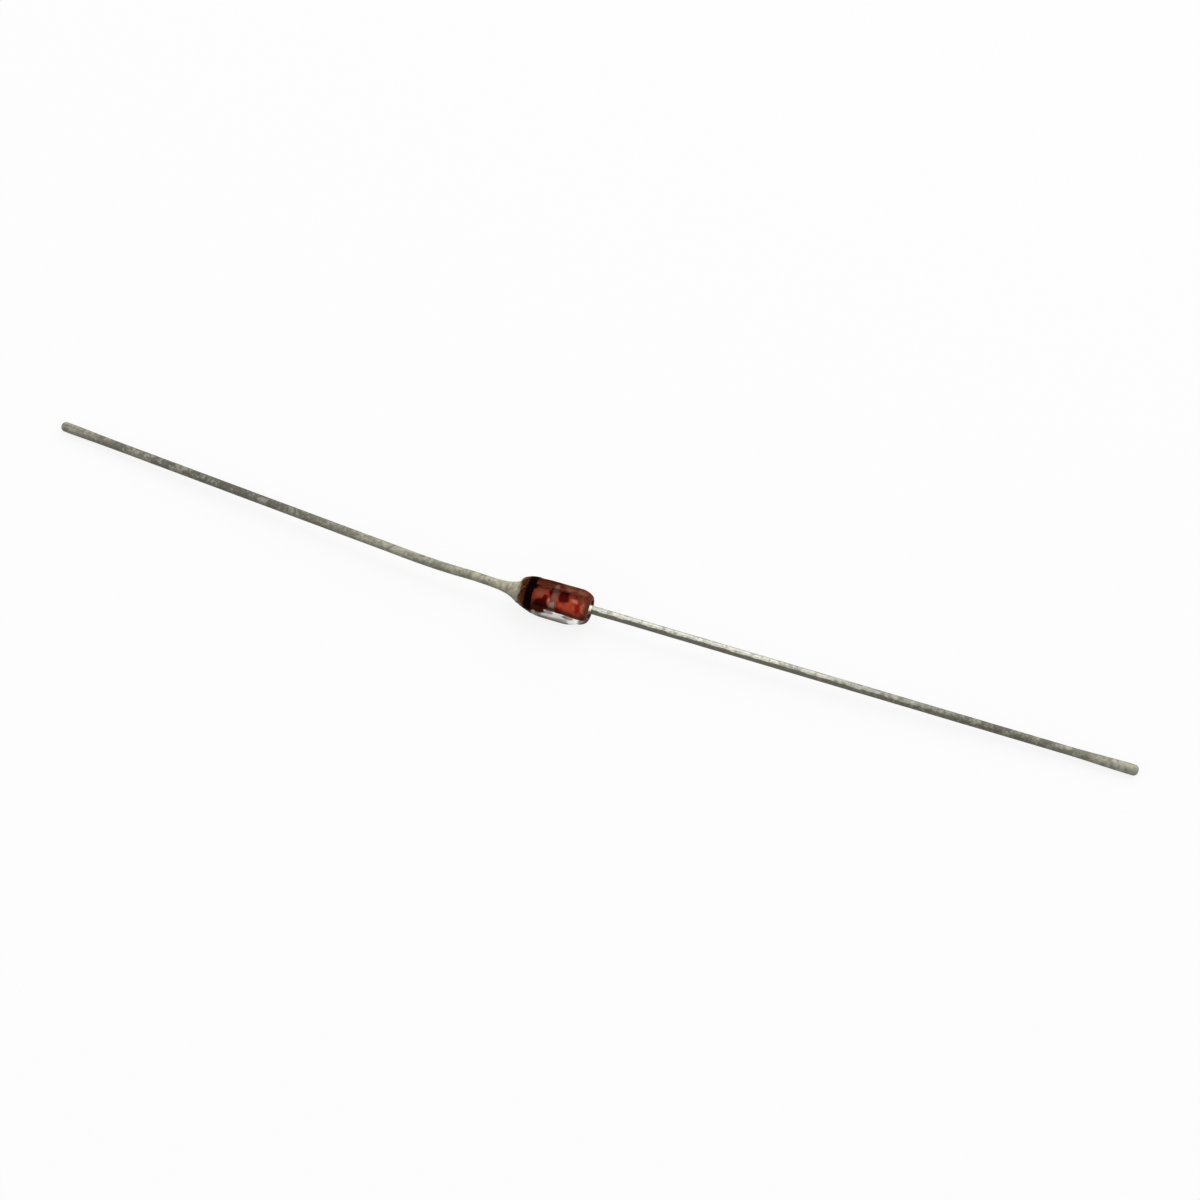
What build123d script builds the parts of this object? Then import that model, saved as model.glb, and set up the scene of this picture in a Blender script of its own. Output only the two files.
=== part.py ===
from build123d import *
import os

# Zener diode in a small glass package with two axial leads, lying as it rests on a bench.
# Millimetres. The origin is the centre of the glass body, on its axis. +X runs along the
# glass towards the anode lead, the painted band marks the cathode end at -X, and +Z is up.

# Glass sleeve
glass_diameter = 1.88
glass_length = 3.60
bore_diameter = 0.88
mouth_rounding = 0.035
end_land = 0.01
anode_shoulder_length = 0.97
cathode_shoulder_length = 1.55

# Uneven wall: the bore, with all that it holds, sits a little up and back of the glass's own axis
core_back = 0.078
core_up = 0.055

# Slugs that the glass is sealed to, with the chip pressed between them
slug_inset = 0.20
slug_chamfer = 0.03
die_side = 0.50
die_thickness = 0.16
bump_diameter = 0.30
bump_height = 0.06
bump_rounding = 0.03

# Tinned wire leads, each measured from the end of the glass to its tip
wire_diameter = 0.46
lead_length = 26.50
tip_diameter = 0.54
tip_rounding = 0.22
tinned_end_length = 3.40

# Where each lead bends beside the glass, how gently, and how far towards +Y its tip lies
anode_bend_distance = 1.80
anode_bend_radius = 24.0
anode_tip_swing = 0.35
cathode_bend_distance = 4.40
cathode_bend_radius = 26.0
cathode_tip_swing = 2.45

# Weld of the anode wire, inside the mouth of the glass
anode_weld_diameter = 0.72
anode_weld_length = 0.36

# Flared weld metal of the cathode wire, fuller on its lower front side
flare_diameter = 1.16
flare_length = 2.30
flare_lap = 0.10
flare_sag = 0.10
flare_curve = 4.6
flare_steps = 9

# Painted cathode band
band_inset = 0.33
band_width = 0.53
paint_thickness = 0.036

# Places that follow from the sizes
glass_radius = glass_diameter / 2
bore_radius = bore_diameter / 2
wire_radius = wire_diameter / 2
tip_radius = tip_diameter / 2
glass_end = glass_length / 2
core_offset = (core_back**2 + core_up**2) ** 0.5
end_face_radius = bore_radius + mouth_rounding + core_offset + end_land
shoulder_height = glass_radius - end_face_radius
slug_gap = die_thickness + bump_height
slug_end = glass_end - slug_inset
slug_length = slug_end - slug_gap / 2
tip_drop = glass_radius - tip_radius
anode_root = slug_end + anode_weld_length
cathode_root = glass_end + flare_length
core_axis = Axis((0, core_back, core_up), (1, 0, 0))
core_section = Plane((0, core_back, core_up), x_dir=(1, 0, 0), z_dir=(0, -1, 0))

os.makedirs("parts", exist_ok=True)


def core_plane(x):
    """Plane across the core at x."""
    return Plane((x, core_back, core_up), x_dir=(0, 1, 0), z_dir=(1, 0, 0))


def glass_outline(coat=0.0):
    """Half section of the filled glass body, from the axis out to its rounded shoulders, under a coat."""
    anode_corner = (glass_end - anode_shoulder_length, end_face_radius)
    cathode_corner = (cathode_shoulder_length - glass_end, end_face_radius)
    with BuildSketch(Plane.XZ) as outline:
        with BuildLine():
            cathode_shoulder = EllipticalCenterArc(
                cathode_corner,
                cathode_shoulder_length + coat,
                shoulder_height + coat,
                start_angle=180,
                arc_size=-90,
            )
            anode_shoulder = EllipticalCenterArc(
                anode_corner,
                anode_shoulder_length + coat,
                shoulder_height + coat,
                start_angle=90,
                arc_size=-90,
            )
            Line(cathode_shoulder @ 1, anode_shoulder @ 0)
            Polyline(anode_shoulder @ 1, (glass_end + coat, 0), (-glass_end - coat, 0), cathode_shoulder @ 0)
        make_face()
    return outline


def mouth_section(side):
    """Half section of the bore's rounded mouth at one end, side being -1 or 1."""
    inner = side * (glass_end - mouth_rounding)
    outer = side * glass_end
    with BuildSketch(core_section) as section:
        with BuildLine():
            Polyline((outer, bore_radius + mouth_rounding), (outer, 0), (inner, 0), (inner, bore_radius))
            RadiusArc(
                (inner, bore_radius),
                (outer, bore_radius + mouth_rounding),
                side * mouth_rounding,
            )
        make_face()
    return section.sketch


def tinned_wire(side, root, bend_distance, bend_radius, tip_swing):
    """A bent round wire that thickens towards its dipped tip, which rests on the bench."""
    start = Vector(side * root, core_back, core_up)
    tip = Vector(side * (glass_end + lead_length), tip_swing, -tip_drop)
    corner = Vector(side * (glass_end + bend_distance), core_back, core_up)
    heading = (tip - corner).normalized()
    tinned_start = tip - heading * tinned_end_length
    with BuildPart() as wire:
        with BuildLine() as route:
            FilletPolyline(start, corner, tinned_start, radius=bend_radius)
        with BuildSketch(Plane(start, z_dir=(side, 0, 0))):
            Circle(wire_radius)
        sweep(path=route.line)
        with BuildSketch(Plane(tinned_start, x_dir=heading, z_dir=heading.cross(Vector(0, 0, 1)))):
            rim_start = tinned_end_length - tip_rounding
            with BuildLine():
                Line((0, 0), (0, wire_radius))
                Bezier(
                    (0, wire_radius),
                    (rim_start / 2, wire_radius),
                    (rim_start / 2, tip_radius),
                    (rim_start, tip_radius),
                )
                CenterArc((rim_start, tip_radius - tip_rounding), tip_rounding, 90, -90)
                Polyline((tinned_end_length, tip_radius - tip_rounding), (tinned_end_length, 0), (0, 0))
            make_face()
        revolve(axis=Axis(tinned_start, heading))
    return wire.part


# Glass tube, melted round at both ends and drawn down further at the cathode end
with BuildPart() as glass_sleeve:
    revolve(glass_outline().sketch, axis=Axis.X)
    with BuildSketch(core_plane(-glass_end)):
        Circle(bore_radius)
    extrude(amount=glass_length, mode=Mode.SUBTRACT)
    for mouth_side in (-1, 1):
        revolve(mouth_section(mouth_side), axis=core_axis, mode=Mode.SUBTRACT)
glass_sleeve.part.label = "glass_sleeve"

# Oxide coated slugs, fused into the bore on either side of the chip
with BuildPart() as cathode_slug:
    with BuildSketch(core_plane(-slug_gap / 2)):
        Circle(bore_radius)
    extrude(amount=-slug_length)
    chamfer(cathode_slug.edges().filter_by(GeomType.CIRCLE), slug_chamfer)
cathode_slug.part.label = "cathode_slug"

with BuildPart() as anode_slug:
    with BuildSketch(core_plane(slug_gap / 2)):
        Circle(bore_radius)
    extrude(amount=slug_length)
    chamfer(anode_slug.edges().filter_by(GeomType.CIRCLE), slug_chamfer)
anode_slug.part.label = "anode_slug"

# Square silicon chip, its back on the cathode slug
with BuildPart() as zener_die:
    with BuildSketch(core_plane(-slug_gap / 2)):
        Rectangle(die_side, die_side)
    extrude(amount=die_thickness)
zener_die.part.label = "zener_die"

# Plated silver button on the chip's face, which the anode slug presses on
with BuildPart() as contact_bump:
    with BuildSketch(core_plane(die_thickness - slug_gap / 2)):
        Circle(bump_diameter / 2)
    extrude(amount=bump_height)
    fillet(contact_bump.edges().group_by(Axis.X)[-1], bump_rounding)
contact_bump.part.label = "contact_bump"

# Anode wire, butt welded to its slug down inside the open mouth of the glass
with BuildPart() as anode_lead:
    with BuildSketch(core_section):
        with BuildLine():
            Line((slug_end, 0), (slug_end, anode_weld_diameter / 2))
            Bezier(
                (slug_end, anode_weld_diameter / 2),
                (slug_end + anode_weld_length / 3, anode_weld_diameter / 2),
                (slug_end + anode_weld_length / 2, wire_radius),
                (anode_root, wire_radius),
            )
            Polyline((anode_root, wire_radius), (anode_root, 0), (slug_end, 0))
        make_face()
    revolve(axis=core_axis)
    add(tinned_wire(1, anode_root, anode_bend_distance, anode_bend_radius, anode_tip_swing))
anode_lead.part.label = "anode_lead"

# Cathode wire, whose weld metal fills the mouth and spreads as a flare over the glass
with BuildPart() as cathode_lead:
    for step in range(flare_steps + 1):
        reach = flare_length - (flare_length + flare_lap) * step / flare_steps
        spread = 1 - reach / flare_length
        sag = flare_sag * spread
        flare_centre = (-glass_end - reach, core_back - sag, core_up - sag / 2)
        with BuildSketch(Plane(flare_centre, z_dir=(1, 0, 0))):
            Circle(wire_radius + (flare_diameter / 2 - wire_radius) * spread**flare_curve)
    loft()
    with BuildSketch(core_plane(-glass_end)):
        Circle(bore_radius)
    extrude(amount=slug_inset)
    add(glass_sleeve.part, mode=Mode.SUBTRACT)
    add(tinned_wire(-1, cathode_root, cathode_bend_distance, cathode_bend_radius, cathode_tip_swing))
cathode_lead.part.label = "cathode_lead"

# Ring of paint that follows the glass down its long shoulder
with BuildPart() as cathode_band:
    with BuildSketch(Plane.XZ):
        add(glass_outline(coat=paint_thickness).sketch_local)
        with Locations((band_inset + band_width / 2 - glass_end, glass_diameter / 2)):
            Rectangle(band_width, glass_diameter / 2, mode=Mode.INTERSECT)
        add(glass_outline().sketch_local, mode=Mode.SUBTRACT)
    revolve(axis=Axis.X)
cathode_band.part.label = "cathode_band"

for piece in (
    glass_sleeve,
    cathode_slug,
    anode_slug,
    zener_die,
    contact_bump,
    anode_lead,
    cathode_lead,
    cathode_band,
):
    export_step(piece.part, f"parts/{piece.part.label}.step")
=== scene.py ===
import math

import bmesh
import bpy
from bpy.props import FloatProperty, FloatVectorProperty, IntProperty, PointerProperty
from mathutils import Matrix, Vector, noise


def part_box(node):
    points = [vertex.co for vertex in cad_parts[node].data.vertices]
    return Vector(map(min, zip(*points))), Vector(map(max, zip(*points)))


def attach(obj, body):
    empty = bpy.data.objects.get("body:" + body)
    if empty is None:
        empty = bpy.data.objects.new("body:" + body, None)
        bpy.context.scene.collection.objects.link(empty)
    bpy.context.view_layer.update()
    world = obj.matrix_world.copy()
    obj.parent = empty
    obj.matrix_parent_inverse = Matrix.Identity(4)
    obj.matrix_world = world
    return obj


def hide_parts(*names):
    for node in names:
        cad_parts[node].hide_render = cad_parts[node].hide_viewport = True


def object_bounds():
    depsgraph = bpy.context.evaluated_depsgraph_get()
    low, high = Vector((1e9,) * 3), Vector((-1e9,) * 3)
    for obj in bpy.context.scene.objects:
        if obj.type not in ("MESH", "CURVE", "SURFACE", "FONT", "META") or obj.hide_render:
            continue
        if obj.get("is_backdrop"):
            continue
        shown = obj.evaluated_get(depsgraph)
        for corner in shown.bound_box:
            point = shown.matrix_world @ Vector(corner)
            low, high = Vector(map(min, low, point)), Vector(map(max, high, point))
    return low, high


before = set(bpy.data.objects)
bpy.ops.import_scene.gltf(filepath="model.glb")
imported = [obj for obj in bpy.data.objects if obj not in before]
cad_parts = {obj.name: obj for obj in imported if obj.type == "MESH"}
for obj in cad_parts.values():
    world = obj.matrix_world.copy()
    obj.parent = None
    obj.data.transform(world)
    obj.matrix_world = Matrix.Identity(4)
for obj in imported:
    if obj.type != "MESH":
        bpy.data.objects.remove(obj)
cad_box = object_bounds()

bl_info = {
    "name": "Glass Zener Diode",
    "version": (1, 0, 0),
    "blender": (4, 5, 0),
    "location": "3D View > Sidebar > Zener Diode",
    "description": "Dresses the solids of a small glass zener diode in fine meshes and finishes",
    "category": "Add Mesh",
}

# Metres. The axis of the glass is the X axis, with the painted cathode end at -X.
MM = 0.001
BODY = "root"

# Places that follow from the solids
GLASS_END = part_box("glass_sleeve")[1].x
SLUG_LOW, SLUG_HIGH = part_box("anode_slug")
SLUG_FACE = SLUG_LOW.x
SLUG_END = SLUG_HIGH.x
BORE_RADIUS = (SLUG_HIGH.z - SLUG_LOW.z) / 2
CORE = Vector((0.0, SLUG_LOW.y + SLUG_HIGH.y, SLUG_LOW.z + SLUG_HIGH.z)) / 2
DIE_LOW, DIE_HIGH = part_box("zener_die")
BUMP_LOW, BUMP_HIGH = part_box("contact_bump")
BAND_LOW, BAND_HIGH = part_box("cathode_band")
FLOOR_LEVEL = cad_box[0].z

# The front of the part is towards -Y. Its lower side gets painted shade on the leads, the slugs and the
# glass, and dust on the band, and its upper side faces the camera.
LOWER_FRONT = Vector((0.0, -0.82, -0.57))
UPPER_FRONT = Vector((0.0, -0.57, 0.82))

# Steps along the outlines of the pieces, and faces round the plug and the weld
CATHODE_STEPS, BARREL_STEPS, ANODE_STEPS, MOUTH_STEPS, BORE_STEPS = 48, 48, 40, 10, 24
BAND_STEPS = 28
SLUG_STEPS = 20
FRINGE_STEPS = 12
BUTTON_STEPS = 8
PLUG_STEPS = 8
WELD_STEPS = 24
WELD_SIDES = 96

# Edges sharper than this stay sharp
SHARP_EDGE = math.radians(35)


class Value:
    """An output socket of a graph. Arithmetic on it adds Math nodes."""

    def __init__(self, graph, socket):
        self.graph = graph
        self.socket = socket

    def __add__(self, other):
        return self.graph.math("ADD", self, other)

    def __radd__(self, other):
        return self.graph.math("ADD", other, self)

    def __sub__(self, other):
        return self.graph.math("SUBTRACT", self, other)

    def __rsub__(self, other):
        return self.graph.math("SUBTRACT", other, self)

    def __mul__(self, other):
        return self.graph.math("MULTIPLY", self, other)

    def __rmul__(self, other):
        return self.graph.math("MULTIPLY", other, self)

    def __truediv__(self, other):
        return self.graph.math("DIVIDE", self, other)

    def __rtruediv__(self, other):
        return self.graph.math("DIVIDE", other, self)

    def __pow__(self, other):
        return self.graph.math("POWER", self, other)


class Made:
    """A node that was added to a graph. Its outputs are read by name or place."""

    def __init__(self, graph, node):
        self.graph = graph
        self.node = node

    def __getitem__(self, key):
        return Value(self.graph, Graph.pick(self.node.outputs, key))


class Graph:
    """Builds the node tree of a material, of a world or of Geometry Nodes."""

    def __init__(self, tree):
        self.tree = tree
        tree.nodes.clear()

    @staticmethod
    def pick(sockets, key):
        """The socket in use that has this name, or this place among those in use."""
        in_use = [socket for socket in sockets if socket.enabled]
        if isinstance(key, int):
            return in_use[key]
        return next(socket for socket in in_use if socket.name == key)

    def add(self, kind, settings=None, sockets=None):
        """Adds a node of a type, with its settings first and then the values or links of its sockets."""
        node = self.tree.nodes.new(kind)
        for name, value in (settings or {}).items():
            setattr(node, name, value)
        for key, value in (sockets or {}).items():
            socket = self.pick(node.inputs, key)
            if isinstance(value, Value):
                self.tree.links.new(value.socket, socket)
            else:
                socket.default_value = value
        return Made(self, node)

    def math(self, operation, *operands):
        return self.add("ShaderNodeMath", {"operation": operation}, dict(enumerate(operands)))["Value"]

    def vector(self, operation, *operands):
        node = self.add("ShaderNodeVectorMath", {"operation": operation}, dict(enumerate(operands)))
        return node["Value" if operation == "DOT_PRODUCT" else "Vector"]

    def most(self, *values):
        """The greatest of several values."""
        greatest = values[0]
        for value in values[1:]:
            greatest = self.math("MAXIMUM", greatest, value)
        return greatest

    def rise(self, value, low, high):
        """0 below low, 1 above high and a smooth step between them."""
        sockets = {"Value": value, "From Min": low, "From Max": high}
        return self.add("ShaderNodeMapRange", {"interpolation_type": "SMOOTHSTEP"}, sockets)["Result"]

    def noise(self, place, scale, **shape):
        """Noise from 0 to 1, with its mean at a half."""
        sockets = {"Vector": place, "Scale": scale, "Detail": 3.0}
        sockets.update((name.title(), value) for name, value in shape.items())
        return self.add("ShaderNodeTexNoise", None, sockets)["Fac"]

    def blend(self, factor, first, second):
        """A colour that goes from the first to the second."""
        colours = [c if isinstance(c, Value) else opaque(c) for c in (first, second)]
        sockets = {"Factor": factor, "A": colours[0], "B": colours[1]}
        return self.add("ShaderNodeMix", {"data_type": "RGBA"}, sockets)["Result"]

    def coats(self, colour, *coats):
        """A colour under one coat after another, each the share that it covers and its own colour."""
        for share, coat in coats:
            colour = self.blend(share, colour, coat)
        return colour

    def millimetres(self, x=1.0, y=1.0, z=1.0):
        """Object coordinates in millimetres, stretched along each axis."""
        sockets = {"Vector": self.add("ShaderNodeTexCoord")["Object"], "Scale": (x / MM, y / MM, z / MM)}
        return self.add("ShaderNodeMapping", None, sockets)["Vector"]

    def places(self, middle=None):
        """Place in millimetres, place along X, and place towards the lower front, from a middle if given."""
        place_mm = self.millimetres()
        along = self.add("ShaderNodeSeparateXYZ", None, {"Vector": place_mm})["X"]
        across = self.vector("DOT_PRODUCT", place_mm, LOWER_FRONT)
        if middle is not None:
            across = across - middle.dot(LOWER_FRONT) / MM
        return place_mm, along, across

    def patches(self, at, patches, low=0.75, high=1.05):
        """1 inside any of the elliptical patches, whose edges wander with a noise."""
        along, across, wander = at
        total = 0.0
        for centre_x, centre_y, half_x, half_y in patches:
            reach = (((along - centre_x) / half_x) ** 2.0 + ((across - centre_y) / half_y) ** 2.0) ** 0.5
            total = self.math("MAXIMUM", 1.0 - self.rise(reach + wander, low, high), total)
        return total

    def looked_at(self):
        """1 for what the camera sees, also in a mirror or through glass."""
        ray = self.add("ShaderNodeLightPath")
        return self.most(ray["Is Camera Ray"], ray["Is Glossy Ray"], ray["Is Transmission Ray"])

    def bump(self, height, distance, strength=1.0):
        sockets = {"Strength": strength, "Distance": distance, "Height": height}
        return self.add("ShaderNodeBump", None, sockets)["Normal"]

    def principled(self, **finish):
        """A Principled shader. The names of its sockets are written with underscores."""
        names = {"ior": "IOR", "specular_ior_level": "Specular IOR Level"}
        sockets = {}
        for name, value in finish.items():
            colour = name.endswith(("color", "tint")) and not isinstance(value, Value)
            sockets[names.get(name, name.replace("_", " ").title())] = opaque(value) if colour else value
        return self.add("ShaderNodeBsdfPrincipled", None, sockets)["BSDF"]

    def surface(self, **finish):
        """Ends a material in one Principled shader."""
        self.add("ShaderNodeOutputMaterial", None, {"Surface": self.principled(**finish)})

    def mixed_surface(self, factor, first, second, output="ShaderNodeOutputMaterial"):
        """Ends a material or a world in a mix of two shaders."""
        mixed = self.add("ShaderNodeMixShader", None, {0: factor, 1: first, 2: second})
        self.add(output, None, {"Surface": mixed["Shader"]})


def opaque(colour):
    """A colour with full alpha."""
    return (*tuple(colour)[:3], 1.0)


def scaled(colour, share):
    """A darker or lighter colour."""
    return [share * part for part in colour]


def new_material(name, kind=Graph):
    """A material and the empty graph that its nodes are added to."""
    material = bpy.data.materials.new(name)
    material.use_nodes = True
    return material, kind(material.node_tree)


def place(name, description, mm, **limits):
    """A setting in metres, from its value in millimetres."""
    words = {"name": name, "description": description}
    return FloatProperty(**words, default=mm * MM, unit="LENGTH", subtype="DISTANCE", precision=5, **limits)


def length(name, description, mm):
    return place(name, description, mm, min=0.0)


def angle(name, description, degrees):
    turn = math.radians(degrees)
    return FloatProperty(name=name, description=description, default=turn, unit="ROTATION", subtype="ANGLE")


def count(name, description, default):
    return IntProperty(name=name, description=description, default=default, min=12)


def colour(name, thing, default):
    words = {"name": name, "description": f"Colour of {thing}"}
    return FloatVectorProperty(**words, default=default, size=3, min=0.0, max=1.0, subtype="COLOR")


class GlassSettings(bpy.types.PropertyGroup):
    diameter: length("Diameter", "Outside diameter of the tube", 1.88)
    mouth_rounding: length("Mouth rounding", "Radius where the bore opens at each end", 0.035)
    end_land: length("End land", "Narrowest flat between the mouth and the shoulder", 0.01)
    anode_shoulder: length("Anode shoulder", "Length of the melted anode shoulder", 0.97)
    cathode_shoulder: length("Cathode shoulder", "Length of the melted cathode shoulder", 1.55)
    waviness: length("Waviness", "Depth of the draw marks", 0.006)
    sides: count("Sides", "Faces round the tube", 288)
    melt_shift: length("Melt shift", "How far the melted ends moved up and back", 0.042)
    melt_draw: length("Melt draw", "How far the melted ends are drawn in on the lower front", 0.045)
    tint: colour("Tint", "the glass", (0.93, 0.90, 0.87))
    # Edge tint and Edge are painted shade along the lower edge of the glass
    edge_tint: colour("Edge tint", "the glass towards its lower edge", (0.15, 0.14, 0.13))
    edge: colour("Edge", "the film on the lower front", (0.20, 0.19, 0.175))
    # The two colours below are also painted shade along the upper back rim of the glass
    soot_and_rim_shade: colour("Soot", "the brown film on the upper back", (0.085, 0.020, 0.011))
    pale_soot: colour("Pale soot", "the brown film where it is thin", (0.25, 0.092, 0.054))
    ruddy_film: colour("Ruddy film", "the brown film at its lower edge", (0.21, 0.034, 0.016))
    pale_film: colour("Pale film", "the brown film over the gap", (0.20, 0.10, 0.07))
    stain: colour("Stain", "the film beside the band", (0.036, 0.006, 0.002))
    smear: colour("Smear", "the weld metal smeared over the cathode end", (0.33, 0.285, 0.205))
    cream: colour("Cream", "the pale flecks beside the band", (0.29, 0.245, 0.19))
    burnt: colour("Burnt glass", "the glass burnt over the cathode weld", (0.048, 0.011, 0.004))
    fleck: colour("Fleck", "the flecks in the burnt glass", (0.24, 0.12, 0.055))
    amber: colour("Amber glass", "the glass that browned at the anode end", (0.15, 0.032, 0.015))
    dark_amber: colour("Dark amber glass", "the browned glass on the lower front", (0.060, 0.012, 0.010))


class SlugSettings(bpy.types.PropertyGroup):
    chamfer: length("Chamfer", "Chamfer of both ends", 0.03)
    seal: length("Seal", "How far the glass is wetted into the oxide", 0.003)
    creep: length("Creep", "How far the film of the gap crept over the anode slug", 0.10)
    sides: count("Sides", "Faces round a slug", 160)
    red_oxide: colour("Red oxide", "the thin oxide", (0.57, 0.080, 0.040))
    brick_oxide: colour("Brick oxide", "the thicker oxide", (0.34, 0.034, 0.014))
    maroon_oxide: colour("Maroon oxide", "the blotches", (0.095, 0.0004, 0.0002))
    deep_oxide: colour("Deep oxide", "the deep red streaks", (0.34, 0.012, 0.003))
    # The pink colour below is a painted highlight on the oxide
    pink_highlight: colour("Pink copper", "the copper that shines through", (0.80, 0.26, 0.17))
    amber_oxide: colour("Amber oxide", "the brown patches", (0.42, 0.115, 0.055))
    fringe: colour("Fringe", "the film that crept over the gap", (0.33, 0.145, 0.10))
    pale_fringe: colour("Pale fringe", "the film of the gap where it is thin", (0.56, 0.34, 0.31))


class ChipSettings(bpy.types.PropertyGroup):
    edge: length("Edge", "Width of the broken edges of the chip", 0.008)
    button_rounding: length("Button rounding", "Radius round the face of the button", 0.03)
    sides: count("Sides", "Faces round the button", 64)
    silicon: colour("Silicon", "the sawn silicon", (0.30, 0.29, 0.31))
    silver: colour("Silver", "the plated button", (0.80, 0.77, 0.72))


class BandSettings(bpy.types.PropertyGroup):
    thickness: length("Thickness", "Thickness of the paint", 0.014)
    edge_wander: length("Edge wander", "How far the painted edges wander", 0.022)
    sides: count("Sides", "Faces round the band", 240)
    paint: colour("Paint", "the paint", (0.004, 0.0010, 0.0008))
    scuff: colour("Scuff", "worn flecks in the paint", (0.030, 0.008, 0.004))
    rim: colour("Rim", "the thin paint along the cathode edge", (0.12, 0.033, 0.011))
    smudge: colour("Smudge", "the dust that sticks to the lower front", (0.26, 0.22, 0.16))


class LeadSettings(bpy.types.PropertyGroup):
    wire_diameter: length("Wire diameter", "Diameter of the tinned wire", 0.46)
    lead_length: length("Lead length", "From the end of the glass to the tip", 26.50)
    tip_diameter: length("Tip diameter", "Diameter of the dipped tip", 0.54)
    tip_rounding: length("Tip rounding", "Radius round the end of the tip", 0.22)
    tinned_end: length("Dipped length", "Length over which the tip thickens", 3.40)
    anode_bend_distance: length("Anode bend distance", "From the glass to the anode bend", 1.80)
    anode_bend_radius: length("Anode bend radius", "Radius of the anode bend", 24.0)
    anode_tip_swing: place("Anode tip swing", "How far towards +Y the anode tip lies", 0.35)
    cathode_bend_distance: length("Cathode bend distance", "From the glass to the cathode bend", 4.40)
    cathode_bend_radius: length("Cathode bend radius", "Radius of the cathode bend", 26.0)
    cathode_tip_swing: place("Cathode tip swing", "How far towards +Y the cathode tip lies", 2.45)
    flare_diameter: length("Flare diameter", "Diameter of the weld metal at the glass", 1.16)
    flare_length: length("Flare length", "Length over which the weld metal tapers", 2.30)
    flare_lap: length("Flare lap", "How far the weld metal laps the end of the glass", 0.04)
    flare_sag: place("Flare sag", "How far the weld metal hangs to the front", 0.10)
    weld_diameter: length("Weld diameter", "Diameter of the anode weld at its slug", 0.62)
    weld_length: length("Weld length", "Length of the anode weld", 0.27)
    weld_seal: length("Weld seal", "How far the cathode weld is wetted into the glass", 0.003)
    cathode_coat: place("Cathode coat", "How much thicker the tin is on the cathode lead", 0.010)
    anode_coat: place("Anode coat", "How much thicker the tin is on the anode lead", -0.016)
    lump_depth: length("Lump depth", "Depth of the hollows in the tin", 0.016)
    rings: count("Rings", "Rings along a lead", 720)
    sides: count("Sides", "Faces round a lead", 56)
    grey_tin: colour("Grey tin", "the weathered tin", (0.36, 0.345, 0.275))
    dull_tin: colour("Dull tin", "the tin that has gone dull", (0.145, 0.137, 0.108))
    # The tarnish colour below is also the painted shade on the lower front of the leads
    dark_tin: colour("Dark tin", "the tarnish", (0.085, 0.080, 0.058))
    # The underside colour below is painted shade on the shining wire
    under_tin: colour("Under tin", "the underside of the shining tin", (0.115, 0.108, 0.078))
    # The shining colour below is partly the tin's own and partly a painted highlight along the top of the
    # wire
    bright_tin: colour("Bright tin", "the tin that still shines", (0.80, 0.79, 0.69))
    pale_tin: colour("Pale tin", "the pale specks in the tin", (0.50, 0.49, 0.39))
    beige_tin: colour("Beige tin", "the weld metal at the glass", (0.53, 0.485, 0.365))
    weld_oxide: colour("Weld oxide", "the burnt weld in the mouth", (0.030, 0.012, 0.006))
    weld_brown: colour("Weld brown", "the browned sides of the anode weld", (0.16, 0.085, 0.060))
    fleck: colour("Fleck", "the flecks in the burnt weld", (0.40, 0.14, 0.05))


class StageSettings(bpy.types.PropertyGroup):
    azimuth: angle("Azimuth", "Where the camera stands round the part", 19.308)
    elevation: angle("Elevation", "How far the camera looks down", 55.0)
    distance: length("Distance", "From the camera to the point that it looks at", 88.35)
    look_x: place("Look at X", "Point that the camera looks at", 2.043)
    look_y: place("Look at Y", "Point that the camera looks at", 0.763)
    look_z: place("Look at Z", "Point that the camera looks at", 0.045)
    focal_length: FloatProperty(
        name="Focal length", description="Focal length of the camera", default=54.888, unit="CAMERA"
    )
    floor_side: length("Floor side", "Side of the square floor", 3000.0)
    floor_colour: colour("Floor colour", "the floor", (0.95, 0.95, 0.95))
    shadow_lift: FloatProperty(
        name="Shadow lift",
        description="Share of plain white in the floor",
        default=0.84,
        min=0.0,
        max=1.0,
        subtype="FACTOR",
    )
    sky_level: FloatProperty(
        name="Sky level", description="Strength of the light from all round", default=0.55, min=0.0
    )


GROUPS = {
    "zener_glass": GlassSettings,
    "zener_slugs": SlugSettings,
    "zener_chip": ChipSettings,
    "zener_band": BandSettings,
    "zener_leads": LeadSettings,
    "zener_stage": StageSettings,
}


def arc_points(centre, half_width, half_height, start, end, steps):
    """Points (x, radius) on an elliptical arc between two angles in degrees."""
    points = []
    for step in range(steps + 1):
        turn = math.radians(start + (end - start) * step / steps)
        points.append((centre[0] + half_width * math.cos(turn), centre[1] + half_height * math.sin(turn)))
    return points


def straight_points(start, end, steps):
    """Points strictly between two points of a profile."""
    return [tuple(a + (b - a) * step / steps for a, b in zip(start, end)) for step in range(1, steps)]


def bezier_points(controls, steps):
    """Points (x, radius) on a cubic Bezier curve."""
    points = []
    for step in range(steps + 1):
        t = step / steps
        weights = ((1 - t) ** 3, 3 * t * (1 - t) ** 2, 3 * t * t * (1 - t), t**3)
        points.append(tuple(sum(w * c[i] for w, c in zip(weights, controls)) for i in (0, 1)))
    return points


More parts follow.
